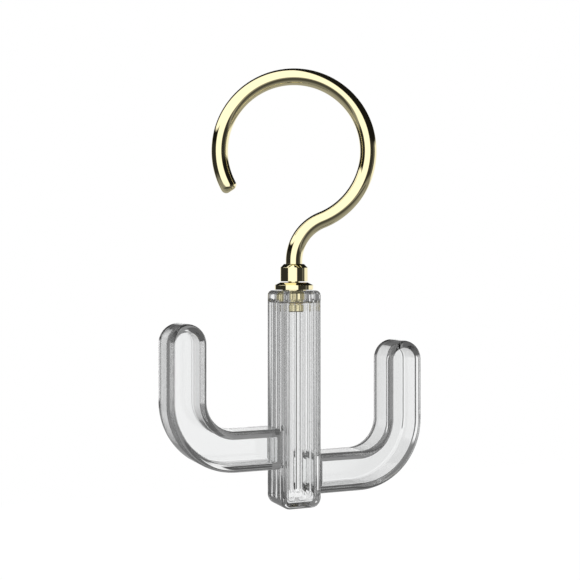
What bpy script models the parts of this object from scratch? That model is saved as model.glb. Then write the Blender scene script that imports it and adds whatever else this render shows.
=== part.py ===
# Hanging swivel hook: a bent rod hook turns in a collar on top of a clear fluted column,
# and two clear upturned arms stand out of the column's sides.
# Metres, +Z up, the front towards -Y, the arms along X. The origin is the inside top of the
# hook's ring, where the ring rests on a rail, and the swivel axis is the Z axis.

import bmesh
import bpy
from math import acos, ceil, cos, degrees, pi, radians, sin, sqrt

# Hook rod: ring, reverse bend and neck, all measured on the rod's centre line
rod_diameter = 0.0050
ring_radius = 0.0223
neck_bend_radius = 0.0132
neck_length = 0.0009             # straight run between the reverse bend and the ferrule
tip_angle = radians(212.5)       # where the ring ends, counted from its right side over the top
tip_rounding = 0.0017
hook_turn = radians(-22.85)      # how far the hook is turned from the arms' plane at rest

# Spigot: the turned-down end of the rod inside the column
spigot_diameter = 0.0036
flare_diameter = 0.0052
flare_height = 0.0007

# Ferrule on the rod
ferrule_diameter = 0.0083
ferrule_height = 0.0041          # straight side
ferrule_cone_height = 0.0011
ferrule_top_diameter = 0.0061

# Flanged bush in the column
flange_diameter = 0.0116
flange_height = 0.0014           # straight side
shoulder_height = 0.0008
shank_diameter = 0.0072
shank_length = 0.0032

# Thrust washer and end collar under the bush
washer_thickness = 0.0005
collar_diameter = 0.0070
collar_height = 0.0021
collar_chamfer = 0.0003

# Column
column_width = 0.0128
column_depth = 0.0128
column_height = 0.0645
column_edge_radius = 0.0014      # upright edges, and the rims of the front and back
column_foot_radius = 0.0030      # lower corners, seen from the front
column_head_radius = 0.0015      # upper corners, seen from the front
flute_count = 3                  # on each of the four faces
flute_depth = 0.00035
flute_foot_margin = 0.0022       # plain height below the flutes
flute_head_margin = 0.0026       # plain height above the flutes
column_wall = 0.0023             # round the column's hollow
column_floor = 0.0016            # under the hollow
hollow_edge_radius = 0.0006      # upright edges of the hollow

# Arms
arm_width = 0.0119               # seen from the front
arm_thickness = 0.0112           # front to back
arm_edge_radius = 0.0017
arm_reach = 0.0349               # swivel axis to the middle of an arm's upright
arm_bend_radius = 0.0090         # inside of the bend
arm_root_inset = 0.0031          # swivel axis to the open end of an arm inside the column
arm_shoulder = 0.0004            # how far the tenon in the column is drawn in from the arm
arm_wall = 0.0022                # the arms are hollow up to their tips
left_arm_rise = 0.0178           # column's foot to the middle of the level run
left_arm_top = 0.0552            # column's foot to the top of the arm
right_arm_rise = 0.0097
right_arm_top = 0.0488

# Fits between separate pieces
running_gap = 0.0003             # between pieces that turn on each other
seat_gap = 0.0002                # between pieces that are pressed or glued together
cut_overrun = 0.0010             # how far a cutter stands out of what it cuts

# How finely round shapes are divided
rod_sides = 20
turned_sides = 40
bend_steps = 12
tip_steps = 16
edge_steps = 4
end_steps = 5
flute_steps = 6
smooth_angle = radians(35)

# Heights that follow from the sizes above
rod_radius = rod_diameter / 2
ring_centre_z = rod_radius - ring_radius
bend_centre_z = ring_centre_z - sqrt((ring_radius + neck_bend_radius) ** 2 - neck_bend_radius ** 2)
ferrule_top_z = bend_centre_z - neck_length
ferrule_foot_z = ferrule_top_z - ferrule_cone_height - ferrule_height
shoulder_top_z = ferrule_foot_z - running_gap
flange_foot_z = shoulder_top_z - shoulder_height - flange_height
column_top_z = flange_foot_z - seat_gap
column_foot_z = column_top_z - column_height
shank_end_z = column_top_z - shank_length
washer_top_z = shank_end_z - running_gap
washer_foot_z = washer_top_z - washer_thickness
collar_top_z = washer_foot_z - running_gap
collar_foot_z = collar_top_z - collar_height
flute_runout = column_width / flute_count / 2

clear_plastic = {"colour": (0.93, 0.94, 0.94, 1.0), "roughness": 0.03, "metallic": 0.0}
gold_plate = {"colour": (0.93, 0.87, 0.60, 1.0), "roughness": 0.08, "metallic": 1.0}
plain_brass = {"colour": (0.80, 0.68, 0.38, 1.0), "roughness": 0.25, "metallic": 1.0}


def clear_scene():
    for item in list(bpy.data.objects):
        bpy.data.objects.remove(item, do_unlink=True)


def make_material(name, finish):
    material = bpy.data.materials.new(name)
    material.use_nodes = True
    shader = material.node_tree.nodes["Principled BSDF"]
    shader.inputs["Base Color"].default_value = finish["colour"]
    shader.inputs["Roughness"].default_value = finish["roughness"]
    shader.inputs["Metallic"].default_value = finish["metallic"]
    return material


def make_empty(name, location, turn=0.0):
    empty = bpy.data.objects.new(name, None)
    empty.location = location
    empty.rotation_euler = (0.0, 0.0, turn)
    bpy.context.scene.collection.objects.link(empty)
    return empty


def make_object(name, solid, finish, parent=None):
    # Turns a bmesh into a named object with outward faces, smooth but for its sharp edges
    bmesh.ops.recalc_face_normals(solid, faces=solid.faces)
    mesh = bpy.data.meshes.new(name)
    solid.to_mesh(mesh)
    solid.free()
    mesh.shade_smooth()
    mesh.set_sharp_from_angle(angle=smooth_angle)
    item = bpy.data.objects.new(name, mesh)
    if finish:
        mesh.materials.append(make_material(name, finish))
    bpy.context.scene.collection.objects.link(item)
    item.parent = parent
    return item


def skin_rings(rings, closed):
    # Joins equal rings of points into a solid: closed runs back to the first ring, as in a
    # washer, and open gets a cap on each end
    solid = bmesh.new()
    loops = [[solid.verts.new(point) for point in ring] for ring in rings]
    pairs = list(zip(loops, loops[1:]))
    if closed:
        pairs.append((loops[-1], loops[0]))
    for lower, upper in pairs:
        for i in range(len(lower)):
            j = (i + 1) % len(lower)
            solid.faces.new((lower[i], lower[j], upper[j], upper[i]))
    if not closed:
        solid.faces.new(loops[0])
        solid.faces.new(loops[-1])
    return solid


def turned_solid(profile, closed):
    # Turns a profile of (radius, height) points about the Z axis
    rings = []
    for radius, height in profile:
        angles = [2 * pi * k / turned_sides for k in range(turned_sides)]
        rings.append([(radius * cos(a), radius * sin(a), height) for a in angles])
    return skin_rings(rings, closed)


def rod_ring(x, z, heading, radius):
    # A ring of points square to the rod's centre line, which lies in the XZ plane
    ring = []
    for k in range(rod_sides):
        angle = 2 * pi * k / rod_sides
        across = radius * cos(angle)
        ring.append((x - across * sin(heading), radius * sin(angle), z + across * cos(heading)))
    return ring


def rod_stations():
    # The rod from its flared end up to its tip: x, z, heading and radius at each station
    up = pi / 2
    spigot_radius = spigot_diameter / 2
    stations = [
        (0.0, collar_foot_z, up, flare_diameter / 2),
        (0.0, collar_foot_z + flare_height, up, spigot_radius),
        (0.0, ferrule_foot_z, up, spigot_radius),
        (0.0, ferrule_foot_z, up, rod_radius),
    ]
    meet_angle = acos(neck_bend_radius / (ring_radius + neck_bend_radius))
    for k in range(bend_steps + 1):
        turn = meet_angle * k / bend_steps
        x = neck_bend_radius * (1 - cos(turn))
        stations.append((x, bend_centre_z + neck_bend_radius * sin(turn), up - turn, rod_radius))
    start_angle = -meet_angle
    tip_start = tip_angle - tip_rounding / ring_radius
    ring_steps = ceil(bend_steps * (tip_start - start_angle) / meet_angle)
    for k in range(1, ring_steps + 1):
        angle = start_angle + (tip_start - start_angle) * k / ring_steps
        stations.append(ring_station(angle, rod_radius))
    for k in range(1, edge_steps + 1):
        turn = pi / 2 * k / edge_steps
        angle = tip_start + tip_rounding * sin(turn) / ring_radius
        stations.append(ring_station(angle, rod_radius - tip_rounding * (1 - cos(turn))))
    return stations


def ring_station(angle, radius):
    x = ring_radius * cos(angle)
    return x, ring_centre_z + ring_radius * sin(angle), angle + pi / 2, radius


def make_hook_rod(parent):
    rings = [rod_ring(*station) for station in rod_stations()]
    return make_object("hook_rod", skin_rings(rings, closed=False), gold_plate, parent)


def make_ferrule(parent):
    outer = ferrule_diameter / 2
    bore = rod_radius + seat_gap
    profile = [
        (bore, ferrule_foot_z),
        (outer, ferrule_foot_z),
        (outer, ferrule_foot_z + ferrule_height),
        (ferrule_top_diameter / 2, ferrule_top_z),
        (bore, ferrule_top_z),
    ]
    return make_object("swivel_ferrule", turned_solid(profile, closed=True), gold_plate, parent)


def make_bush(parent):
    bore = spigot_diameter / 2 + running_gap
    flange = flange_diameter / 2
    shank = shank_diameter / 2
    profile = [
        (bore, shank_end_z),
        (shank, shank_end_z),
        (shank, flange_foot_z),
        (flange, flange_foot_z),
        (flange, flange_foot_z + flange_height),
        (ferrule_diameter / 2, shoulder_top_z),
        (bore, shoulder_top_z),
    ]
    return make_object("flanged_bush", turned_solid(profile, closed=True), gold_plate, parent)


def make_washer(parent):
    bore = spigot_diameter / 2 + running_gap
    outer = collar_diameter / 2
    profile = [
        (bore, washer_foot_z),
        (outer, washer_foot_z),
        (outer, washer_top_z),
        (bore, washer_top_z),
    ]
    return make_object("thrust_washer", turned_solid(profile, closed=True), plain_brass, parent)


def make_end_collar(parent):
    # Its countersink holds the rod's flared end
    bore = spigot_diameter / 2 + seat_gap
    outer = collar_diameter / 2
    profile = [
        (flare_diameter / 2 + seat_gap, collar_foot_z),
        (outer - collar_chamfer, collar_foot_z),
        (outer, collar_foot_z + collar_chamfer),
        (outer, collar_top_z),
        (bore, collar_top_z),
        (bore, collar_foot_z + flare_height),
    ]
    return make_object("end_collar", turned_solid(profile, closed=True), gold_plate, parent)


def flute_dip(share):
    # A round-bottomed flute: how deep it is at a share of its width, as a share of its depth
    return 4 * share * (1 - share)


def face_points(flat_half, fade):
    # One face from its left to its right: distance along it, and how far the flutes dip in
    steps = flute_count * flute_steps
    points = []
    for k in range(steps + 1):
        along = flat_half * (2 * k / steps - 1)
        share = k % flute_steps / flute_steps
        points.append((along, flute_depth * fade * flute_dip(share)))
    return points


def corner_points(centre_x, centre_y, radius, start):
    # An upright edge's quarter circle, without its two ends
    points = []
    for k in range(1, edge_steps):
        angle = start + pi / 2 * k / edge_steps
        points.append((centre_x + radius * cos(angle), centre_y + radius * sin(angle)))
    return points


def column_ring(height):
    # The column's outline at a height over its foot, anticlockwise from the front left
    half_width, half_depth = column_halves(height)
    radius = column_edge_radius
    flat_x = half_width - radius
    flat_y = half_depth - radius
    fade = flute_fade(height)
    across = face_points(flat_x, fade)
    along = face_points(flat_y, fade)
    points = [(s, -half_depth + dip) for s, dip in across]
    points += corner_points(flat_x, -flat_y, radius, -pi / 2)
    points += [(half_width - dip, s) for s, dip in along]
    points += corner_points(flat_x, flat_y, radius, 0.0)
    points += [(-s, half_depth - dip) for s, dip in across]
    points += corner_points(-flat_x, flat_y, radius, pi / 2)
    points += [(-half_width + dip, -s) for s, dip in along]
    points += corner_points(-flat_x, -flat_y, radius, pi)
    return [(x, y, column_foot_z + height) for x, y in points]


def round_over(distance, radius):
    # How far an edge rounded to a radius is drawn in at a distance from its end
    if distance >= radius:
        return 0.0
    return radius - sqrt(radius ** 2 - (radius - distance) ** 2)


def column_halves(height):
    # Half the width and half the depth, drawn in at the rounded foot and head
    from_head = column_height - height
    width_loss = round_over(height, column_foot_radius) + round_over(from_head, column_head_radius)
    depth_loss = round_over(min(height, from_head), column_edge_radius)
    return column_width / 2 - width_loss, column_depth / 2 - depth_loss


def flute_fade(height):
    # Full depth along the column, running out in a quarter round at both ends
    from_end = min(height - flute_foot_margin, column_height - flute_head_margin - height)
    share = min(max(from_end / flute_runout, 0.0), 1.0)
    return sqrt(1 - (1 - share) ** 2)


def column_heights():
    # Levels for the rounded ends and the flutes' run-outs, from the foot up
    levels = set()
    for k in range(end_steps + 1):
        share = 1 - cos(pi / 2 * k / end_steps)
        levels.add(column_foot_radius * share)
        levels.add(column_height - column_head_radius * share)
        levels.add(flute_foot_margin + flute_runout * share)
        levels.add(column_height - flute_head_margin - flute_runout * share)
    levels.add(column_edge_radius)
    levels.add(column_height - column_edge_radius)
    return sorted(levels)


def make_tool(name, solid, parent):
    # A shape that is only there to cut or to fill another one
    tool = make_object(name, solid, None, parent)
    tool.hide_render = True
    tool.display_type = "WIRE"
    return tool


def combine(item, tool, operation):
    modifier = item.modifiers.new(tool.name, "BOOLEAN")
    modifier.operation = operation
    modifier.object = tool


def make_column(parent):
    rings = [column_ring(height) for height in column_heights()]
    column = make_object("column", skin_rings(rings, closed=False), clear_plastic, parent)
    combine(column, make_tool("column_hollow", hollow_solid(), parent), "DIFFERENCE")
    bore_radius = shank_diameter / 2 + seat_gap
    bore_profile = [
        (bore_radius, shank_end_z - cut_overrun),
        (bore_radius, column_top_z + cut_overrun),
    ]
    bore = make_tool("bore", turned_solid(bore_profile, closed=False), parent)
    combine(column, bore, "DIFFERENCE")
    mortise_end = arm_root_inset - seat_gap
    for name, side, rise in (("left_mortise", -1, left_arm_rise), ("right_mortise", 1, right_arm_rise)):
        mortise = tenon_solid(side, rise, seat_gap, mortise_end, column_width / 2 + cut_overrun)
        combine(column, make_tool(name, mortise, parent), "DIFFERENCE")
    return column


def rounded_rectangle(half_across, half_up, radius):
    # Points of a rectangle with round corners about the origin, anticlockwise
    points = []
    for k, (across, up) in enumerate(((1, 1), (-1, 1), (-1, -1), (1, -1))):
        for step in range(edge_steps + 1):
            angle = pi / 2 * (k + step / edge_steps)
            p = across * (half_across - radius) + radius * cos(angle)
            q = up * (half_up - radius) + radius * sin(angle)
            points.append((p, q))
    return points


def hollow_solid():
    # The column's inside, from its floor to the end of the bush's shank, with a round foot
    half_x = column_width / 2 - column_wall
    half_y = column_depth / 2 - column_wall
    foot_radius = column_foot_radius - column_floor
    rings = []
    for k in range(end_steps + 1):
        rise = foot_radius * (1 - cos(pi / 2 * k / end_steps))
        points = rounded_rectangle(half_x - round_over(rise, foot_radius), half_y, hollow_edge_radius)
        rings.append([(x, y, column_foot_z + column_floor + rise) for x, y in points])
    points = rounded_rectangle(half_x, half_y, hollow_edge_radius)
    rings.append([(x, y, shank_end_z) for x, y in points])
    return skin_rings(rings, closed=False)


def tenon_solid(side, rise, gap, start, end):
    # The arm's section within its shoulder, wider by a gap, from one distance off the axis to another
    half_depth = arm_thickness / 2 - arm_shoulder + gap
    half_height = arm_width / 2 - arm_shoulder + gap
    points = rounded_rectangle(half_depth, half_height, arm_edge_radius - arm_shoulder + gap)
    rings = [[(side * x, y, column_foot_z + rise + z) for y, z in points] for x in (start, end)]
    return skin_rings(rings, closed=False)


def arm_outline(top, inset, root):
    # An arm seen from the front, to the right of the axis and over the middle of its level run:
    # out along the underside, round the bend, up, over the tip and back along the inside.
    # The outline lies inside the arm's own by the inset, and starts at the root
    half = arm_width / 2 - inset
    inner = arm_bend_radius + inset
    outer = inner + 2 * half
    bend_x = arm_reach - half - inner
    bend_z = half + inner
    points = [(root, -half)]
    for k in range(bend_steps + 1):
        angle = pi / 2 * (k / bend_steps - 1)
        points.append((bend_x + outer * cos(angle), bend_z + outer * sin(angle)))
    for k in range(tip_steps + 1):
        angle = pi * k / tip_steps
        points.append((arm_reach + half * cos(angle), top - inset - half + half * sin(angle)))
    for k in range(bend_steps + 1):
        angle = -pi / 2 * k / bend_steps
        points.append((bend_x + inner * cos(angle), bend_z + inner * sin(angle)))
    points.append((root, half))
    return points


def arm_solid(side, rise, top, inset, root):
    # The outline drawn through from front to back
    outline = arm_outline(top - rise, inset, root)
    half = arm_thickness / 2 - inset
    rings = [[(side * x, y, column_foot_z + rise + z) for x, z in outline] for y in (-half, half)]
    return skin_rings(rings, closed=False)


def make_arm(name, side, rise, top, parent):
    # The free length with round edges, a tenon behind its shoulder, and a hollow through both
    shoulder_x = column_width / 2 + seat_gap
    solid = arm_solid(side, rise, top, 0.0, shoulder_x)
    weights = solid.edges.layers.float.new("bevel_weight_edge")
    root_x = min(abs(vert.co.x) for vert in solid.verts)
    for edge in solid.edges:
        first, second = (vert.co for vert in edge.verts)
        along_rim = first.y == second.y
        at_root = abs(first.x) == root_x and abs(second.x) == root_x
        edge[weights] = 1.0 if along_rim and not at_root else 0.0
    arm = make_object(name, solid, clear_plastic, parent)
    bevel = arm.modifiers.new("rounded_edges", "BEVEL")
    bevel.limit_method = "WEIGHT"
    bevel.width = arm_edge_radius
    bevel.segments = edge_steps
    tenon = tenon_solid(side, rise, 0.0, arm_root_inset, shoulder_x + arm_wall)
    combine(arm, make_tool(name + "_tenon", tenon, parent), "UNION")
    hollow = arm_solid(side, rise, top, arm_wall, arm_root_inset - cut_overrun)
    combine(arm, make_tool(name + "_hollow", hollow, parent), "DIFFERENCE")
    return arm


def main():
    clear_scene()
    hook = make_empty("hook_frame", (0.0, 0.0, 0.0), hook_turn)
    swivel = make_empty("swivel_axis", (0.0, 0.0, 0.0))
    make_hook_rod(hook)
    make_ferrule(hook)
    make_washer(hook)
    make_end_collar(hook)
    make_bush(swivel)
    make_column(swivel)
    make_arm("left_arm", -1, left_arm_rise, left_arm_top, swivel)
    make_arm("right_arm", 1, right_arm_rise, right_arm_top, swivel)
    print("column top %.5f, foot %.5f" % (column_top_z, column_foot_z))
    print("ring centre %.5f, ferrule top %.5f" % (ring_centre_z, ferrule_top_z))
    print("hook turned %.2f degrees" % degrees(hook_turn))


main()
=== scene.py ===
# Hanging swivel hook with two clear arms: the polished metal, the clear mouldings and the studio.
# Metres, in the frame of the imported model: the ring rests on its rail at the origin, the hook
# turns about the Z axis, and the front looks towards -Y.
from math import acos, ceil, cos, pi, radians, sin, sqrt, tan

import bmesh
import bpy
from mathutils import Matrix, Vector


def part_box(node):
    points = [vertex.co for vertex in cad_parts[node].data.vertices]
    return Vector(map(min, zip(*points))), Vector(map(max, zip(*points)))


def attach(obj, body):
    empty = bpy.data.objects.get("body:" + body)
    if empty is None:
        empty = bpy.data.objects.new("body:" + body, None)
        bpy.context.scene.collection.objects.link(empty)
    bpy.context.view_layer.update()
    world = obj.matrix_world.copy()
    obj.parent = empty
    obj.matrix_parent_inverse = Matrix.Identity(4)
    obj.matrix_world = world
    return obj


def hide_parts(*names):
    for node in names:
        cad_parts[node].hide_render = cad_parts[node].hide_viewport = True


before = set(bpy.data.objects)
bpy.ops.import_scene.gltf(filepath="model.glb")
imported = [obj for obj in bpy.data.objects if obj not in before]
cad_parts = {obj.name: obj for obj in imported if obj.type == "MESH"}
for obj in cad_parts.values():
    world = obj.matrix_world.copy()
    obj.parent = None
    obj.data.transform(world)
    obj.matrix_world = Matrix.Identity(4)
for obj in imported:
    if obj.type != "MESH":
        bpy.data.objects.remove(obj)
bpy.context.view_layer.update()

smoothLimit = radians(30)          # edges sharper than this stay sharp
columnLow, columnHigh = (Vector(corner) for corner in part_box("column"))
leftLow, leftHigh = (Vector(corner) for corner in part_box("left_arm"))
rightLow, rightHigh = (Vector(corner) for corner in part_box("right_arm"))
ferruleLow, ferruleHigh = (Vector(corner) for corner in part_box("swivel_ferrule"))
bushLow, bushHigh = (Vector(corner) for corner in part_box("flanged_bush"))
washerLow, washerHigh = (Vector(corner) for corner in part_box("thrust_washer"))
collarLow, collarHigh = (Vector(corner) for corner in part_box("end_collar"))


# Small helpers for nodes, meshes and cuts

def addNode(tree, kind, values=None, **settings):
    node = tree.nodes.new(kind)
    for name, value in settings.items():
        setattr(node, name, value)
    for socket, value in (values or {}).items():
        node.inputs[socket].default_value = value
    return node


def addMath(tree, operation, *terms):
    # A Math node whose terms are sockets or plain numbers; gives its output socket
    node = addNode(tree, "ShaderNodeMath", operation=operation)
    for place, term in enumerate(terms):
        if isinstance(term, (int, float)):
            node.inputs[place].default_value = term
        else:
            tree.links.new(term, node.inputs[place])
    return node.outputs[0]


def addRamp(tree, factor, stops):
    # A colour ramp of grey stops: (position, brightness)
    ramp = addNode(tree, "ShaderNodeValToRGB")
    elements = ramp.color_ramp.elements
    while len(elements) > 1:
        elements.remove(elements[-1])
    elements[0].position = stops[0][0]
    elements[0].color = (stops[0][1],) * 3 + (1.0,)
    for position, brightness in stops[1:]:
        element = elements.new(position)
        element.color = (brightness,) * 3 + (1.0,)
    tree.links.new(factor, ramp.inputs["Fac"])
    return ramp.outputs["Color"]


def mixColours(tree, factor, first, second):
    # The second one where the factor is 1. Each is a socket, a colour or a plain grey level
    mix = addNode(tree, "ShaderNodeMix", data_type="RGBA")
    tree.links.new(factor, mix.inputs["Factor"])
    for key, value in ((6, first), (7, second)):       # the sockets of the two colours
        if isinstance(value, float):
            value = (value,) * 3
        if isinstance(value, tuple):
            mix.inputs[key].default_value = value + (1.0,)
        else:
            tree.links.new(value, mix.inputs[key])
    return mix.outputs[2]


def setInputs(modifier, values):
    # Geometry Nodes inputs are set by their identifier
    for item in modifier.node_group.interface.items_tree:
        if item.item_type == "SOCKET" and item.in_out == "INPUT" and item.name in values:
            modifier[item.identifier] = values[item.name]


def newTree(name, inputs):
    tree = bpy.data.node_groups.new(name, "GeometryNodeTree")
    tree.interface.new_socket(name="Geometry", in_out="INPUT", socket_type="NodeSocketGeometry")
    for label, kind in inputs:
        tree.interface.new_socket(name=label, in_out="INPUT", socket_type="NodeSocket" + kind)
    tree.interface.new_socket(name="Geometry", in_out="OUTPUT", socket_type="NodeSocketGeometry")
    return tree


def newPiece(name, mesh, material=None):
    piece = bpy.data.objects.new(name, mesh)
    bpy.context.scene.collection.objects.link(piece)
    if material:
        mesh.materials.append(material)
    return piece


def skinRings(name, rings, closed=False):
    # Joins rings of points into a closed mesh with outward faces
    solid = bmesh.new()
    loops = [[solid.verts.new(point) for point in ring] for ring in rings]
    pairs = list(zip(loops, loops[1:]))
    if closed:
        pairs.append((loops[-1], loops[0]))
    for near, far in pairs:
        for i in range(len(near)):
            j = (i + 1) % len(near)
            solid.faces.new((near[i], near[j], far[j], far[i]))
    if not closed:
        solid.faces.new(loops[0])
        solid.faces.new(loops[-1])
    bmesh.ops.recalc_face_normals(solid, faces=solid.faces)
    mesh = bpy.data.meshes.new(name)
    solid.to_mesh(mesh)
    solid.free()
    return mesh


def bakeModifiers(piece):
    # Turns the evaluated piece into a plain mesh and takes its modifiers off
    depsgraph = bpy.context.evaluated_depsgraph_get()
    evaluated = piece.evaluated_get(depsgraph)
    mesh = bpy.data.meshes.new_from_object(evaluated, preserve_all_data_layers=True,
                                           depsgraph=depsgraph)
    piece.modifiers.clear()
    piece.data = mesh


def combine(piece, toolMesh, operation):
    # Cuts or joins a tool, which finishMesh takes away once that is baked
    tool = newPiece("tool", toolMesh)
    modifier = piece.modifiers.new("cut", "BOOLEAN")
    modifier.operation = operation
    modifier.object = tool
    return tool


def finishMesh(piece, tools=()):
    # Bakes the cuts, then shades smooth with flat faces kept flat up to their rounded rims
    bakeModifiers(piece)
    for tool in tools:
        bpy.data.objects.remove(tool)
    piece.data.shade_smooth()
    piece.data.set_sharp_from_angle(angle=smoothLimit)
    weighted = piece.modifiers.new("normals", "WEIGHTED_NORMAL")
    weighted.keep_sharp = True
    bakeModifiers(piece)


def roundedRectangle(halfAcross, halfUp, radii, steps):
    # Points of a rectangle with round corners, anticlockwise from the upper right.
    # The radii go right top, left top, left foot, right foot
    points = []
    for k, (across, up) in enumerate(((1, 1), (-1, 1), (-1, -1), (1, -1))):
        for step in range(steps + 1):
            angle = pi / 2 * (k + step / steps)
            p = across * (halfAcross - radii[k]) + radii[k] * cos(angle)
            q = up * (halfUp - radii[k]) + radii[k] * sin(angle)
            points.append((p, q))
    return points


def filletedPlate(name, outlineAt, halfDepth, radius, steps):
    # A front outline drawn through from front to back, with its front and back rims rounded.
    # The outline is asked for at each inset, so a rounding stays round in bends
    rings = []
    for side in (-1, 1):
        half = []
        for k in range(steps + 1):
            turn = pi / 2 * k / steps
            y = side * (halfDepth - radius + radius * cos(turn))
            half.append([(x, y, z) for x, z in outlineAt(radius * (1 - sin(turn)))])
        rings += half[::-side]         # the back half runs towards the back face
    return skinRings(name, rings)


def turnedMesh(name, profile, sides):
    # Turns a closed profile of (radius, height, rounding) about the Z axis
    points = roundedProfile(profile)
    rings = []
    for radius, height in points:
        angles = [2 * pi * k / sides for k in range(sides)]
        rings.append([(radius * cos(a), radius * sin(a), height) for a in angles])
    return skinRings(name, rings, closed=True)


def roundedProfile(profile, steps=5):
    # Swaps each corner that has a rounding for an arc between its two sides
    points = []
    for k, (radius, height, rounding) in enumerate(profile):
        here = Vector((radius, height))
        if not rounding:
            points.append(tuple(here))
            continue
        before = (Vector(profile[k - 1][:2]) - here).normalized()
        after = (Vector(profile[(k + 1) % len(profile)][:2]) - here).normalized()
        halfAngle = before.angle(after) / 2
        reach = rounding / tan(halfAngle)
        centre = here + (before + after).normalized() * (rounding / sin(halfAngle))
        start = here + before * reach - centre
        sweep = start.angle_signed(here + after * reach - centre)
        for step in range(steps + 1):
            arm = Matrix.Rotation(-sweep * step / steps, 2) @ start
            points.append(tuple(centre + arm))
    return points


# Finishes

fineWear = {
    "cloudDetail": 3.0,
    "cloudRoughness": 0.55,
    "scratchLength": 0.06,             # how much the pattern is drawn out along the height
    "scratchDetail": 2.0,
    "scratchRoughness": 0.7,
    "scratchWidth": 0.04,
    "scratchSoftness": 0.02,
}


def makeWearGroup():
    # Soft clouding and fine handling scratches, used by the metals and the clear plastic alike
    tree = bpy.data.node_groups.new("fineWear", "ShaderNodeTree")
    for label, value in (("Cloud Scale", 60.0), ("Scratch Scale", 900.0), ("Roughness", 0.03),
                         ("Cloud Amount", 0.01), ("Scratch Amount", 0.01)):
        socket = tree.interface.new_socket(name=label, in_out="INPUT", socket_type="NodeSocketFloat")
        socket.default_value = value
    tree.interface.new_socket(name="Roughness", in_out="OUTPUT", socket_type="NodeSocketFloat")
    tree.interface.new_socket(name="Cloud", in_out="OUTPUT", socket_type="NodeSocketFloat")
    entry = addNode(tree, "NodeGroupInput")
    leave = addNode(tree, "NodeGroupOutput")
    place = addNode(tree, "ShaderNodeTexCoord")
    cloud = addNode(tree, "ShaderNodeTexNoise",
                    {"Detail": fineWear["cloudDetail"], "Roughness": fineWear["cloudRoughness"]})
    tree.links.new(place.outputs["Object"], cloud.inputs["Vector"])
    tree.links.new(entry.outputs["Cloud Scale"], cloud.inputs["Scale"])
    stretch = addNode(tree, "ShaderNodeMapping", {"Scale": (1.0, 1.0, fineWear["scratchLength"])})
    tree.links.new(place.outputs["Object"], stretch.inputs["Vector"])
    scratch = addNode(tree, "ShaderNodeTexNoise",
                      {"Detail": fineWear["scratchDetail"], "Roughness": fineWear["scratchRoughness"]})
    tree.links.new(stretch.outputs["Vector"], scratch.inputs["Vector"])
    tree.links.new(entry.outputs["Scratch Scale"], scratch.inputs["Scale"])

    # A scratch lies where the pattern crosses its middle level
    width, softness = fineWear["scratchWidth"], fineWear["scratchSoftness"]
    fromMiddle = addMath(tree, "ABSOLUTE", addMath(tree, "SUBTRACT", scratch.outputs["Fac"], 0.5))
    thin = addMath(tree, "SMOOTH_MIN", fromMiddle, width, softness)
    marks = addMath(tree, "SUBTRACT", 1.0, addMath(tree, "DIVIDE", thin, width))
    cloudPart = addMath(tree, "MULTIPLY", cloud.outputs["Fac"], entry.outputs["Cloud Amount"])
    scratchPart = addMath(tree, "MULTIPLY", marks, entry.outputs["Scratch Amount"])
    rough = addMath(tree, "ADD", addMath(tree, "ADD", entry.outputs["Roughness"], cloudPart), scratchPart)
    tree.links.new(rough, leave.inputs["Roughness"])
    tree.links.new(cloud.outputs["Fac"], leave.inputs["Cloud"])
    return tree


goldPlate = {
    "colour": (0.95, 0.865, 0.55),
    "clouded": (0.92, 0.83, 0.51),
    "shader": {"Metallic": 1.0},
    "wear": {"Cloud Scale": 90.0, "Scratch Scale": 1400.0, "Roughness": 0.022,
             "Cloud Amount": 0.02, "Scratch Amount": 0.02},
    "waves": {"Strength": 0.35, "Distance": 0.00001},
    "waveScale": 260.0,
}

plainBrass = {
    "colour": (0.82, 0.69, 0.39),
    "clouded": (0.70, 0.57, 0.30),
    "shader": {"Metallic": 1.0},
    "wear": {"Cloud Scale": 300.0, "Scratch Scale": 2500.0, "Roughness": 0.2,
             "Cloud Amount": 0.1, "Scratch Amount": 0.1},
}

clearPlastic = {
    "colour": (0.995, 0.998, 0.998),
    "clouded": (0.985, 0.99, 0.99),
    "shader": {"Transmission Weight": 1.0, "IOR": 1.49},
    "wear": {"Cloud Scale": 70.0, "Scratch Scale": 700.0, "Roughness": 0.0,
             "Cloud Amount": 0.012, "Scratch Amount": 0.01},
    "waves": {"Strength": 0.35, "Distance": 0.000008},
    "waveScale": 130.0,
}


def makeFinish(name, finish, group):
    # Colour and roughness cloud softly, and what is the same all over stands on the shader
    material = bpy.data.materials.new(name)
    material.use_nodes = True
    tree = material.node_tree
    link = tree.links.new
    shader = tree.nodes["Principled BSDF"]
    for socket, value in finish["shader"].items():
        shader.inputs[socket].default_value = value
    wear = addNode(tree, "ShaderNodeGroup", finish["wear"], node_tree=group)
    link(wear.outputs["Roughness"], shader.inputs["Roughness"])
    colour = mixColours(tree, wear.outputs["Cloud"], finish["colour"], finish["clouded"])
    link(colour, shader.inputs["Base Color"])
    if "waves" in finish:              # the slight waviness that polishing and moulding leave
        place = addNode(tree, "ShaderNodeTexCoord")
        wave = addNode(tree, "ShaderNodeTexNoise", {"Scale": finish["waveScale"], "Detail": 1.0})
        link(place.outputs["Object"], wave.inputs["Vector"])
        bump = addNode(tree, "ShaderNodeBump", finish["waves"])
        link(wave.outputs["Fac"], bump.inputs["Height"])
        link(bump.outputs["Normal"], shader.inputs["Normal"])
    return material


wearGroup = makeWearGroup()
gold = makeFinish("goldPlate", goldPlate, wearGroup)
brass = makeFinish("plainBrass", plainBrass, wearGroup)
clear = makeFinish("clearPlastic", clearPlastic, wearGroup)
print("finishes made")


# Hook rod: bent along its path by a tree that skins any path whose points carry a radius

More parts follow.
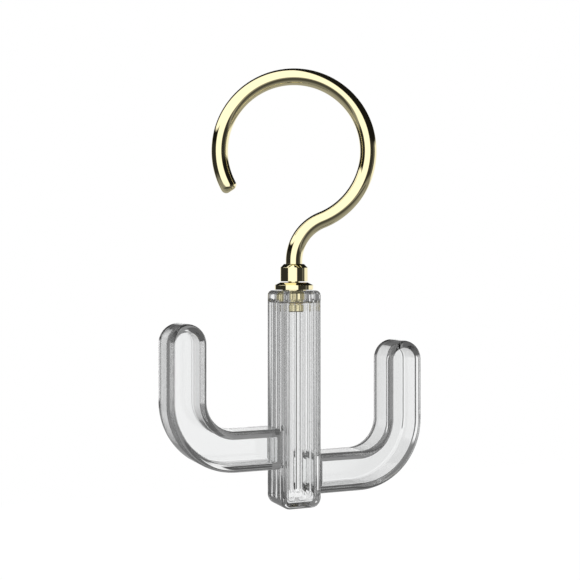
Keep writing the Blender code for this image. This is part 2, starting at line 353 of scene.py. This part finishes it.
rod = {
    "radius": 0.0025,
    "ringRadius": 0.0223,
    "bendRadius": 0.0132,
    "tipAngle": radians(212.5),        # where the ring ends, from its right side over the top
    "tipRounding": 0.0017,
    "tipSteps": 10,
    "turn": radians(-22.85),           # from the plane of the arms
    "spigotRadius": 0.0018,            # of the rod's end inside the swivel
    "flareRadius": 0.0026,
    "flareHeight": 0.0007,
    "shoulderRounding": 0.0001,
    "sides": 64,
    "bendStep": radians(2.5),
}


def rodPath():
    # Centre line from the flared end up to the tip: x, z and radius
    ringZ = rod["radius"] - rod["ringRadius"]
    reach = rod["ringRadius"] + rod["bendRadius"]
    bendZ = ringZ - sqrt(reach ** 2 - rod["bendRadius"] ** 2)
    path = [
        (0.0, collarLow.z, rod["flareRadius"] - rod["shoulderRounding"]),
        (0.0, collarLow.z + rod["shoulderRounding"], rod["flareRadius"]),
        (0.0, collarLow.z + rod["flareHeight"], rod["spigotRadius"]),
        (0.0, ferruleLow.z, rod["spigotRadius"]),
        (0.0, ferruleLow.z + rod["shoulderRounding"], rod["radius"]),
        (0.0, ferruleHigh.z, rod["radius"]),
    ]
    meet = acos(rod["bendRadius"] / reach)
    steps = ceil(meet / rod["bendStep"])
    for k in range(steps + 1):
        turn = meet * k / steps
        x = rod["bendRadius"] * (1 - cos(turn))
        path.append((x, bendZ + rod["bendRadius"] * sin(turn), rod["radius"]))
    tipStart = rod["tipAngle"] - rod["tipRounding"] / rod["ringRadius"]
    steps = ceil((tipStart + meet) / rod["bendStep"])
    for k in range(1, steps + 1):
        path.append(ringPoint(tipStart * k / steps - meet * (1 - k / steps), ringZ, rod["radius"]))
    for k in range(1, rod["tipSteps"] + 1):
        turn = pi / 2 * k / rod["tipSteps"]
        angle = tipStart + rod["tipRounding"] * sin(turn) / rod["ringRadius"]
        path.append(ringPoint(angle, ringZ, rod["radius"] - rod["tipRounding"] * (1 - cos(turn))))
    return path


def ringPoint(angle, ringZ, radius):
    return rod["ringRadius"] * cos(angle), ringZ + rod["ringRadius"] * sin(angle), radius


def pathMesh(name, path, turn):
    # The path as loose edges that carry each point's radius, turned about the Z axis
    mesh = bpy.data.meshes.new(name)
    points = [(x * cos(turn), x * sin(turn), z) for x, z, radius in path]
    mesh.from_pydata(points, [(k, k + 1) for k in range(len(points) - 1)], [])
    radii = mesh.attributes.new("rodRadius", "FLOAT", "POINT")
    radii.data.foreach_set("value", [radius for x, z, radius in path])
    return mesh


def makeRodTree():
    tree = newTree("rodAlongPath", (("Sides", "Int"), ("Finish", "Material")))
    entry = addNode(tree, "NodeGroupInput")
    leave = addNode(tree, "NodeGroupOutput")
    toCurve = addNode(tree, "GeometryNodeMeshToCurve")
    radius = addNode(tree, "GeometryNodeInputNamedAttribute", {"Name": "rodRadius"}, data_type="FLOAT")
    section = addNode(tree, "GeometryNodeCurvePrimitiveCircle", {"Radius": 1.0})
    skin = addNode(tree, "GeometryNodeCurveToMesh", {"Fill Caps": True})
    realize = addNode(tree, "GeometryNodeRealizeInstances")
    dress = addNode(tree, "GeometryNodeSetMaterial")
    link = tree.links.new
    link(entry.outputs["Geometry"], toCurve.inputs["Mesh"])
    link(entry.outputs["Sides"], section.inputs["Resolution"])
    link(toCurve.outputs["Curve"], skin.inputs["Curve"])
    link(radius.outputs["Attribute"], skin.inputs["Scale"])
    link(section.outputs["Curve"], skin.inputs["Profile Curve"])
    link(skin.outputs["Mesh"], realize.inputs["Geometry"])
    link(realize.outputs["Geometry"], dress.inputs["Geometry"])
    link(entry.outputs["Finish"], dress.inputs["Material"])
    link(dress.outputs["Geometry"], leave.inputs["Geometry"])
    return tree


def makeRod():
    piece = newPiece("polishedRod", pathMesh("polishedRod", rodPath(), rod["turn"]))
    modifier = piece.modifiers.new("skin", "NODES")
    modifier.node_group = makeRodTree()
    setInputs(modifier, {"Sides": rod["sides"], "Finish": gold})
    finishMesh(piece)
    return piece


hookRod = makeRod()
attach(hookRod, "hook")
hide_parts("hook_rod")
print("rod bent")


# Turned pieces of the swivel, each with its fine broken edges

turned = {
    "sides": 128,
    "edge": 0.00018,
    "fineEdge": 0.00006,
    "ferruleBore": 0.0027,
    "ferruleTopRadius": 0.00305,
    "ferruleCone": 0.0011,
    "bushBore": 0.0021,
    "shankRadius": 0.0036,
    "flangeHeight": 0.0014,
    "shoulderHeight": 0.0008,
    "shoulderRadius": 0.00415,
    "washerBore": 0.0021,
    "collarBore": 0.0020,
    "collarSink": 0.0007,
    "collarSinkRadius": 0.0028,
    "collarEdge": 0.0003,
}


def ferruleProfile():
    outer = ferruleHigh.x
    edge, fine = turned["edge"], turned["fineEdge"]
    return [
        (turned["ferruleBore"], ferruleLow.z, fine),
        (outer, ferruleLow.z, fine),
        (outer, ferruleHigh.z - turned["ferruleCone"], edge),
        (turned["ferruleTopRadius"], ferruleHigh.z, edge),
        (turned["ferruleBore"], ferruleHigh.z, fine),
    ]


def bushProfile():
    flangeFoot = bushHigh.z - turned["shoulderHeight"] - turned["flangeHeight"]
    edge, fine = turned["edge"], turned["fineEdge"]
    return [
        (turned["bushBore"], bushLow.z, fine),
        (turned["shankRadius"], bushLow.z, fine),
        (turned["shankRadius"], flangeFoot, 0.0),
        (bushHigh.x, flangeFoot, fine),
        (bushHigh.x, flangeFoot + turned["flangeHeight"], edge),
        (turned["shoulderRadius"], bushHigh.z, fine),
        (turned["bushBore"], bushHigh.z, fine),
    ]


def washerProfile():
    fine = turned["fineEdge"]
    return [
        (turned["washerBore"], washerLow.z, fine),
        (washerHigh.x, washerLow.z, fine),
        (washerHigh.x, washerHigh.z, fine),
        (turned["washerBore"], washerHigh.z, fine),
    ]


def collarProfile():
    edge, fine = turned["collarEdge"], turned["fineEdge"]
    return [
        (turned["collarSinkRadius"], collarLow.z, fine),
        (collarHigh.x, collarLow.z, edge),
        (collarHigh.x, collarHigh.z, fine),
        (turned["collarBore"], collarHigh.z, fine),
        (turned["collarBore"], collarLow.z + turned["collarSink"], 0.0),
    ]


def makeTurned(name, profile, material):
    piece = newPiece(name, turnedMesh(name, profile, turned["sides"]), material)
    finishMesh(piece)
    return piece


ferrule = makeTurned("turnedFerrule", ferruleProfile(), gold)
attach(ferrule, "hook")
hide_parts("swivel_ferrule")

bush = makeTurned("turnedBush", bushProfile(), gold)
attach(bush, "arm_column")
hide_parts("flanged_bush")

washer = makeTurned("brassWasher", washerProfile(), brass)
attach(washer, "hook")
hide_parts("thrust_washer")

endCollar = makeTurned("turnedCollar", collarProfile(), gold)
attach(endCollar, "hook")
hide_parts("end_collar")
print("swivel turned")


# Arms: hollow mouldings with round rims, glued to the column's sides

arm = {
    "height": 0.0119,
    "edgeRadius": 0.0017,
    "bendRadius": 0.0090,
    "wall": 0.0021,                # above, below and beside the hollow
    "faceWall": 0.0014,            # before and behind it
    "endWall": 0.0007,             # at the root
    "hollowEdge": 0.0003,
    "glueGap": 0.00004,
    "rimSteps": 10,
    "hollowSteps": 4,
    "bendSteps": 36,
    "tipSteps": 48,
}


def armOutline(low, high, inset, root):
    # Out along the underside, round the bend, up, over the tip and back, right of the axis
    half = arm["height"] / 2 - inset
    inner = arm["bendRadius"] + inset
    outer = inner + 2 * half
    uprightX = high.x - arm["height"] / 2
    bendX = uprightX - half - inner
    level = low.z + arm["height"] / 2
    bendZ = level + half + inner
    points = [(root, level - half)]
    for k in range(arm["bendSteps"] + 1):
        angle = pi / 2 * (k / arm["bendSteps"] - 1)
        points.append((bendX + outer * cos(angle), bendZ + outer * sin(angle)))
    for k in range(arm["tipSteps"] + 1):
        angle = pi * k / arm["tipSteps"]
        points.append((uprightX + half * cos(angle), high.z - inset - half + half * sin(angle)))
    for k in range(arm["bendSteps"] + 1):
        angle = -pi / 2 * k / arm["bendSteps"]
        points.append((bendX + inner * cos(angle), bendZ + inner * sin(angle)))
    points.append((root, level + half))
    return points


halfArmDepth = (leftHigh.y - leftLow.y) / 2


def makeArm(name, side, low, high):
    # The right arm as it lies, or the left one mirrored: x runs away from the axis. The glued
    # tenon is as clear as the wall round it and shows no edge, so the arm starts at its shoulder
    reach = Vector((high.x if side > 0 else -low.x, high.y, high.z))
    shoulderX = columnHigh.x + arm["glueGap"]

    def outer(inset):
        return [(side * x, z) for x, z in armOutline(low, reach, inset, shoulderX)]

    def inner(inset):
        root = shoulderX + arm["endWall"] + inset
        return [(side * x, z) for x, z in armOutline(low, reach, inset + arm["wall"], root)]

    body = filletedPlate(name, outer, halfArmDepth, arm["edgeRadius"], arm["rimSteps"])
    piece = newPiece(name, body, clear)
    hollow = filletedPlate("hollow", inner, halfArmDepth - arm["faceWall"], arm["hollowEdge"],
                           arm["hollowSteps"])
    finishMesh(piece, [combine(piece, hollow, "DIFFERENCE")])
    return piece


leftArm = makeArm("clearArmLeft", -1, leftLow, leftHigh)
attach(leftArm, "arm_column")
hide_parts("left_arm")

rightArm = makeArm("clearArmRight", 1, rightLow, rightHigh)
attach(rightArm, "arm_column")
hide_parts("right_arm")
print("arms moulded")


# Column: a rounded square bar that a tree flutes on all four faces, then hollowed

column = {
    "edgeRadius": 0.0014,
    "footRadius": 0.0030,
    "headRadius": 0.0015,
    "flutes": 3,
    "pitch": 0.0035,
    "fluteWidth": 0.0024,
    "fluteDepth": 0.0005,
    "footMargin": 0.0026,              # plain height below the flutes, and above them
    "headMargin": 0.0026,
    "acrossSteps": 24,
    "endSteps": 12,
    "overrun": 0.001,                  # how far the bore's cutter stands out
    "wall": 0.0018,
    "floor": 0.0016,
    "hollowEdge": 0.0006,
    "boreRadius": 0.0038,
    "rimSteps": 10,
    "hollowSteps": 4,
}


def makeFluteTree():
    # Cuts round-ended flutes into a square column that stands on the Z axis
    inputs = (("Flutes", "Int"), ("Pitch", "Float"), ("Width", "Float"), ("Depth", "Float"),
              ("Length", "Float"), ("Middle Height", "Float"), ("Face Distance", "Float"),
              ("Across Steps", "Int"), ("End Steps", "Int"), ("Finish", "Material"))
    tree = newTree("roundEndedFlutes", inputs)
    link = tree.links.new
    entry = addNode(tree, "NodeGroupInput")
    leave = addNode(tree, "NodeGroupOutput")
    width = entry.outputs["Width"]
    depth = entry.outputs["Depth"]
    spread = 1.02                      # the cutter reaches a little past the flute's own edge
    standOut = -4.0                    # flute depths that the cutter stands out of its face
    weldReach = 0.000001

    def sumOf(first, second):
        return addMath(tree, "ADD", first, second)

    def differenceOf(first, second):
        return addMath(tree, "SUBTRACT", first, second)

    def productOf(first, second):
        return addMath(tree, "MULTIPLY", first, second)

    def shareOf(first, second):
        return addMath(tree, "DIVIDE", first, second)

    # Radius of the round flute bottom, from its width and depth
    squares = sumOf(shareOf(productOf(width, width), 4.0), productOf(depth, depth))
    radius = shareOf(squares, productOf(depth, 2.0))
    halfWide = productOf(width, spread / 2)

    # A grid of -1 to 1 both ways; its middle row of faces becomes the straight length
    rows = productOf(sumOf(entry.outputs["End Steps"], 1.0), 2.0)
    grid = addNode(tree, "GeometryNodeMeshGrid", {"Size X": 2.0, "Size Y": 2.0})
    link(sumOf(entry.outputs["Across Steps"], 1.0), grid.inputs["Vertices X"])
    link(rows, grid.inputs["Vertices Y"])
    position = addNode(tree, "GeometryNodeInputPosition")
    split = addNode(tree, "ShaderNodeSeparateXYZ")
    link(position.outputs["Position"], split.inputs["Vector"])
    middle = shareOf(1.0, differenceOf(rows, 1.0))
    fromMiddle = differenceOf(addMath(tree, "ABSOLUTE", split.outputs["Y"]), middle)
    past = addMath(tree, "MAXIMUM", shareOf(fromMiddle, differenceOf(1.0, middle)), 0.0)
    across = productOf(split.outputs["X"], halfWide)
    beyond = productOf(past, halfWide)
    straight = shareOf(differenceOf(entry.outputs["Length"], width), 2.0)
    along = productOf(addMath(tree, "SIGN", split.outputs["Y"]), sumOf(straight, beyond))

    # The flute's bottom is round across, and its ends are round too
    offAxis = sumOf(productOf(across, across), productOf(beyond, beyond))
    sphere = addMath(tree, "SQRT", differenceOf(productOf(radius, radius), offAxis))
    dip = differenceOf(sphere, differenceOf(radius, depth))
    place = addNode(tree, "ShaderNodeCombineXYZ")
    link(across, place.inputs["X"])
    link(differenceOf(dip, entry.outputs["Face Distance"]), place.inputs["Y"])
    link(sumOf(along, entry.outputs["Middle Height"]), place.inputs["Z"])
    bend = addNode(tree, "GeometryNodeSetPosition")
    link(grid.outputs["Mesh"], bend.inputs["Geometry"])
    link(place.outputs["Vector"], bend.inputs["Position"])

    # The bent grid drawn outwards into a closed cutter
    outward = addNode(tree, "ShaderNodeCombineXYZ")
    link(productOf(depth, standOut), outward.inputs["Y"])
    extrude = addNode(tree, "GeometryNodeExtrudeMesh", {"Individual": False})
    link(bend.outputs["Geometry"], extrude.inputs["Mesh"])
    link(outward.outputs["Vector"], extrude.inputs["Offset"])
    flip = addNode(tree, "GeometryNodeFlipFaces")
    link(bend.outputs["Geometry"], flip.inputs["Mesh"])
    close = addNode(tree, "GeometryNodeJoinGeometry")
    link(extrude.outputs["Mesh"], close.inputs["Geometry"])
    link(flip.outputs["Mesh"], close.inputs["Geometry"])
    weld = addNode(tree, "GeometryNodeMergeByDistance", {"Distance": weldReach})
    link(close.outputs["Geometry"], weld.inputs["Geometry"])

    # Side by side on one face, then the same on all four
    row = addNode(tree, "GeometryNodeMeshLine")
    link(entry.outputs["Flutes"], row.inputs["Count"])
    start = addNode(tree, "ShaderNodeCombineXYZ")
    halfBack = productOf(entry.outputs["Pitch"], -0.5)
    link(productOf(differenceOf(entry.outputs["Flutes"], 1.0), halfBack), start.inputs["X"])
    step = addNode(tree, "ShaderNodeCombineXYZ")
    link(entry.outputs["Pitch"], step.inputs["X"])
    link(start.outputs["Vector"], row.inputs["Start Location"])
    link(step.outputs["Vector"], row.inputs["Offset"])
    face = addNode(tree, "GeometryNodeInstanceOnPoints")
    link(row.outputs["Mesh"], face.inputs["Points"])
    link(weld.outputs["Geometry"], face.inputs["Instance"])
    sides = addNode(tree, "GeometryNodeMeshLine", {"Count": 4, "Offset": (0.0, 0.0, 0.0)})
    index = addNode(tree, "GeometryNodeInputIndex")
    quarterTurn = addNode(tree, "ShaderNodeCombineXYZ")
    link(productOf(index.outputs["Index"], pi / 2), quarterTurn.inputs["Z"])
    around = addNode(tree, "GeometryNodeInstanceOnPoints")
    link(sides.outputs["Mesh"], around.inputs["Points"])
    link(face.outputs["Instances"], around.inputs["Instance"])
    link(quarterTurn.outputs["Vector"], around.inputs["Rotation"])
    cutters = addNode(tree, "GeometryNodeRealizeInstances")
    link(around.outputs["Instances"], cutters.inputs["Geometry"])

    cut = addNode(tree, "GeometryNodeMeshBoolean", operation="DIFFERENCE", solver="EXACT")
    link(entry.outputs["Geometry"], cut.inputs["Mesh 1"])
    link(cutters.outputs["Geometry"], cut.inputs["Mesh 2"])
    realize = addNode(tree, "GeometryNodeRealizeInstances")
    link(cut.outputs["Mesh"], realize.inputs["Geometry"])
    dress = addNode(tree, "GeometryNodeSetMaterial")
    link(realize.outputs["Geometry"], dress.inputs["Geometry"])
    link(entry.outputs["Finish"], dress.inputs["Material"])
    link(dress.outputs["Geometry"], leave.inputs["Geometry"])
    return tree


def columnOutline(low, high, inset, headRadius, footRadius):
    # The front outline, rounded at its head and foot
    halfWide = (high.x - low.x) / 2 - inset
    halfTall = (high.z - low.z) / 2 - inset
    middle = (high.z + low.z) / 2
    head = headRadius - inset
    foot = footRadius - inset
    points = roundedRectangle(halfWide, halfTall, (head, head, foot, foot), column["rimSteps"])
    return [(x, middle + z) for x, z in points]


def hollowMesh():
    # The column's inside up to the end of the bush's shank, its foot rounded like the outside
    wall, edge = column["wall"], column["hollowEdge"]
    low = Vector((columnLow.x + wall, 0.0, columnLow.z + column["floor"]))
    high = Vector((columnHigh.x - wall, 0.0, bushLow.z))
    foot = column["footRadius"] - column["floor"]

    def outline(inset):
        return columnOutline(low, high, inset, edge, foot)

    return filletedPlate("hollow", outline, columnHigh.y - wall, edge, column["hollowSteps"])


def boreMesh():
    radius = column["boreRadius"]
    angles = [2 * pi * k / turned["sides"] for k in range(turned["sides"])]
    heights = (bushLow.z - column["overrun"], columnHigh.z + column["overrun"])
    rings = [[(radius * cos(a), radius * sin(a), z) for a in angles] for z in heights]
    return skinRings("bore", rings)


def seatMesh(side, low):
    # The flat seat of an arm, where the glue fills the flutes
    inset = arm["edgeRadius"] / 2
    halfDepth = halfArmDepth - inset
    halfHeight = arm["height"] / 2 - inset
    level = low.z + arm["height"] / 2
    outline = roundedRectangle(halfDepth, halfHeight, (inset,) * 4, column["rimSteps"])
    places = (columnHigh.x - column["wall"] / 2, columnHigh.x)
    return skinRings("seat", [[(side * x, y, level + z) for y, z in outline] for x in places])


def makeColumn():
    def outline(inset):
        return columnOutline(columnLow, columnHigh, inset, column["headRadius"], column["footRadius"])

    radius, steps = column["edgeRadius"], column["rimSteps"]
    body = filletedPlate("clearColumn", outline, columnHigh.y, radius, steps)
    piece = newPiece("clearColumn", body, clear)
    modifier = piece.modifiers.new("flutes", "NODES")
    modifier.node_group = makeFluteTree()
    foot = columnLow.z + column["footMargin"]
    head = columnHigh.z - column["headMargin"]
    setInputs(modifier, {
        "Flutes": column["flutes"],
        "Pitch": column["pitch"],
        "Width": column["fluteWidth"],
        "Depth": column["fluteDepth"],
        "Length": head - foot,
        "Middle Height": (head + foot) / 2,
        "Face Distance": columnHigh.y,
        "Across Steps": column["acrossSteps"],
        "End Steps": column["endSteps"],
        "Finish": clear,
    })
    bakeModifiers(piece)
    tools = [combine(piece, hollowMesh(), "DIFFERENCE"), combine(piece, boreMesh(), "DIFFERENCE")]
    for side, low in ((-1, leftLow), (1, rightLow)):
        tools.append(combine(piece, seatMesh(side, low), "UNION"))
    finishMesh(piece, tools)
    return piece


clearColumn = makeColumn()
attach(clearColumn, "arm_column")
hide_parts("column")
print("column fluted")


# Camera: level, on the photograph's side of the arms, near enough for its perspective

camera = {
    "turn": radians(22.85),        # left of the front
    "lens": 70.0,
    "sensor": 36.0,
    "distance": 0.3384,
    "aboveColumn": 0.00609,
    "shiftX": -4 / 580,            # shares of the picture's width
    "shiftY": -20 / 580,
    "clipStart": 0.01,
}


def makeCamera():
    data = bpy.data.cameras.new("photoCamera")
    data.lens = camera["lens"]
    data.sensor_width = camera["sensor"]
    data.shift_x = camera["shiftX"]
    data.shift_y = camera["shiftY"]
    data.clip_start = camera["clipStart"]
    item = bpy.data.objects.new("photoCamera", data)
    x = -sin(camera["turn"]) * camera["distance"]
    y = -cos(camera["turn"]) * camera["distance"]
    item.location = (x, y, columnHigh.z + camera["aboveColumn"])
    item.rotation_euler = (radians(90), 0.0, -camera["turn"])
    bpy.context.scene.collection.objects.link(item)
    bpy.context.scene.camera = item


makeCamera()


# Studio: soft lights with dark gaps round the object, over a small white floor

studio = {
    "floorDrop": 0.075,            # under the column's foot
    "floorSize": 0.8,
    "floorColour": (0.85, 0.85, 0.84, 1.0),
    "floorShading": 0.25,          # share of its light that keeps the object's shadow
    "floorGlow": 1.22,
    # What metal mirrors in it, from its edge at the camera to the far one
    "floorMirrored": ((0.0, 0.05), (0.3, 0.08), (0.42, 0.26), (0.6, 0.36), (1.0, 0.42)),
    "floorInRims": 0.12,           # what shows of it inside the plastic's rims
    "metalEdges": ((-16, -10), (9, 13), (19, 22)),       # degrees up, between the rings of light
    "inwardEdges": ((-16, -10), (10, 16)),
    "rimEdges": ((-8, -4), (4, 8)),
    "thrownDepth": 0.5,            # more mirrorings than this are light thrown back inside
    "paneDepth": 2.5,              # more passes than this are a hollow wall, fewer a solid rim
}

# Brightness of each ring by the angle round the object in degrees: 180 is behind it as the
# camera stands, -90 its left, 0 the camera and 90 its right. The lowest ring comes first

metalLights = (
    ((-180, 0.26), (180, 0.26)),
    ((-180, 1.0), (-146, 1.0), (-142, 0.03), (-52, 0.03), (-47, 1.25), (22, 1.25), (27, 0.03),
     (70, 0.04), (80, 0.2), (88, 0.04), (96, 0.05), (101, 1.0), (180, 1.0)),
    ((-180, 0.01), (-52, 0.01), (-47, 1.25), (22, 1.25), (27, 0.01), (180, 0.01)),
    ((-180, 0.01), (-118, 0.01), (-113, 1.25), (22, 1.25), (27, 0.01), (180, 0.01)),
)

# What shows by light that is thrown back inside the plastic
inwardLights = (
    ((-180, 0.15), (-120, 0.15), (-90, 0.02), (20, 0.02), (40, 0.1), (60, 0.1), (80, 0.05),
     (130, 0.2), (180, 0.2)),
    ((-180, 0.26), (-165, 0.26), (-162, 1.0), (-149, 1.0), (-146, 0.26), (-131, 0.2), (-129.5, 1.0),
     (-125.5, 1.0), (-124, 0.1), (-116, 0.12), (-105, 0.35), (-65, 0.3), (-55, 0.9), (-35, 0.9),
     (-31, 0.15), (-25, 0.15), (-23.5, 1.4), (-18.5, 1.4), (-17, 0.15), (9, 0.2), (14, 1.1), (46, 1.1),
     (50, 0.2), (66, 0.2), (80, 0.4), (112, 0.4), (125, 0.15), (140, 0.35), (150, 0.2), (180, 0.26)),
    ((-180, 0.18), (-100, 0.25), (-30, 0.4), (20, 0.4), (60, 0.25), (100, 0.15), (180, 0.15)),
)

# What shows straight through a solid rim, and straight through a hollow wall
rimLights = (
    ((-180, 0.12), (180, 0.12)),
    ((-180, 0.9), (-156, 0.9), (-152, 0.1), (-52, 0.05), (-47, 0.7), (22, 0.7), (27, 0.05), (70, 0.05),
     (74, 0.35), (90, 0.35), (94, 0.06), (146, 0.06), (149, 1.0), (180, 0.9)),
    ((-180, 0.08), (180, 0.08)),
)
paneLights = ((-180, 0.9), (-172, 0.9), (-170, 0.1), (-165, 0.1), (-163, 1.0), (-151, 1.0), (-149, 0.15),
              (-139, 0.15), (-137, 1.0), (-100, 1.0), (-98, 0.2), (-82, 0.2), (-80, 1.0), (80, 1.0),
              (82, 0.2), (98, 0.2), (100, 1.0), (137, 1.0), (139, 0.15), (151, 0.15), (153, 1.0),
              (166, 1.0), (169, 0.9), (180, 0.9))


def addRing(tree, share, stops):
    return addRamp(tree, share, [(degrees / 360 + 0.5, bright) for degrees, bright in stops])


def stackRings(tree, share, height, rings, edges):
    # Rings of light one above the other, with soft edges between them
    colour = addRing(tree, share, rings[0])
    for stops, edge in zip(rings[1:], edges):
        limits = {"From Min": sin(radians(edge[0])), "From Max": sin(radians(edge[1]))}
        blend = addNode(tree, "ShaderNodeMapRange", limits)
        tree.links.new(height, blend.inputs["Value"])
        colour = mixColours(tree, blend.outputs["Result"], colour, addRing(tree, share, stops))
    return colour


def mixRays(tree, mirrored, inward, rim, pane):
    # One level for each kind of ray: mirrored by the metal, thrown back inside the plastic,
    # straight through one of its solid rims, or straight through its hollow walls
    rays = addNode(tree, "ShaderNodeLightPath")
    through = addMath(tree, "GREATER_THAN", rays.outputs["Transmission Depth"], studio["paneDepth"])
    thrown = addMath(tree, "GREATER_THAN", rays.outputs["Glossy Depth"], studio["thrownDepth"])
    straight = mixColours(tree, through, rim, pane)
    plastic = mixColours(tree, thrown, straight, inward)
    return rays, mixColours(tree, rays.outputs["Is Transmission Ray"], mirrored, plastic)


def turnToStudio(tree, coordinates):
    # A direction or place in the plan of the studio, whose far side lies along +Y
    place = addNode(tree, "ShaderNodeTexCoord")
    turn = addNode(tree, "ShaderNodeMapping", {"Rotation": (0.0, 0.0, camera["turn"])})
    tree.links.new(place.outputs[coordinates], turn.inputs["Vector"])
    split = addNode(tree, "ShaderNodeSeparateXYZ")
    tree.links.new(turn.outputs["Vector"], split.inputs["Vector"])
    return split


def makeWorld():
    # Plain white to the camera, while metal and plastic see the rings of light
    world = bpy.data.worlds.new("studio")
    bpy.context.scene.world = world
    world.use_nodes = True
    tree = world.node_tree
    tree.nodes.clear()
    link = tree.links.new
    split = turnToStudio(tree, "Generated")
    height = split.outputs["Z"]
    towards = addMath(tree, "MULTIPLY", split.outputs["Y"], -1.0)
    angle = addMath(tree, "ARCTAN2", split.outputs["X"], towards)
    share = addMath(tree, "ADD", addMath(tree, "DIVIDE", angle, 2 * pi), 0.5)
    mirrored = stackRings(tree, share, height, metalLights, studio["metalEdges"])
    inward = stackRings(tree, share, height, inwardLights, studio["inwardEdges"])
    rim = stackRings(tree, share, height, rimLights, studio["rimEdges"])
    pane = addRing(tree, share, paneLights)
    rays, colour = mixRays(tree, mirrored, inward, rim, pane)
    glow = addNode(tree, "ShaderNodeBackground")
    link(mixColours(tree, rays.outputs["Is Camera Ray"], colour, 1.0), glow.inputs["Color"])
    leave = addNode(tree, "ShaderNodeOutputWorld")
    link(glow.outputs["Background"], leave.inputs["Surface"])


makeWorld()


def makeFloor():
    # White to the camera, with a share of plain shading that keeps the object's shadow. Metal
    # mirrors it as dark as the low ring, and it is white through the hollow walls
    half = studio["floorSize"] / 2
    level = columnLow.z - studio["floorDrop"]
    corners = ((-half, -half), (half, -half), (half, half), (-half, half))
    mesh = bpy.data.meshes.new("floor")
    mesh.from_pydata([(x, y, level) for x, y in corners], [], [(0, 1, 2, 3)])
    material = bpy.data.materials.new("floorPaint")
    material.use_nodes = True
    tree = material.node_tree
    tree.nodes.clear()
    link = tree.links.new
    paint = addNode(tree, "ShaderNodeBsdfDiffuse", {"Color": studio["floorColour"]})
    split = turnToStudio(tree, "Object")
    away = addMath(tree, "DIVIDE", split.outputs["Y"], studio["floorSize"])
    mirrored = addRamp(tree, addMath(tree, "ADD", away, 0.5), studio["floorMirrored"])
    rays, seen = mixRays(tree, mirrored, studio["floorInRims"], studio["floorInRims"], 1.0)
    glowColour = mixColours(tree, rays.outputs["Is Camera Ray"], seen, studio["floorGlow"])
    glow = addNode(tree, "ShaderNodeEmission")
    link(glowColour, glow.inputs["Color"])
    shaded = addMath(tree, "MULTIPLY", rays.outputs["Is Camera Ray"], studio["floorShading"])
    both = addNode(tree, "ShaderNodeMixShader")
    link(shaded, both.inputs["Fac"])
    link(glow.outputs["Emission"], both.inputs[1])
    link(paint.outputs["BSDF"], both.inputs[2])
    leave = addNode(tree, "ShaderNodeOutputMaterial")
    link(both.outputs["Shader"], leave.inputs["Surface"])
    newPiece("floor", mesh, material)


makeFloor()

bounces = 24                       # enough to pass through every wall of the arms and column
scene = bpy.context.scene
scene.view_settings.view_transform = "Standard"
scene.cycles.max_bounces = bounces
scene.cycles.transmission_bounces = bounces
scene.cycles.glossy_bounces = bounces // 2
print("studio lit")
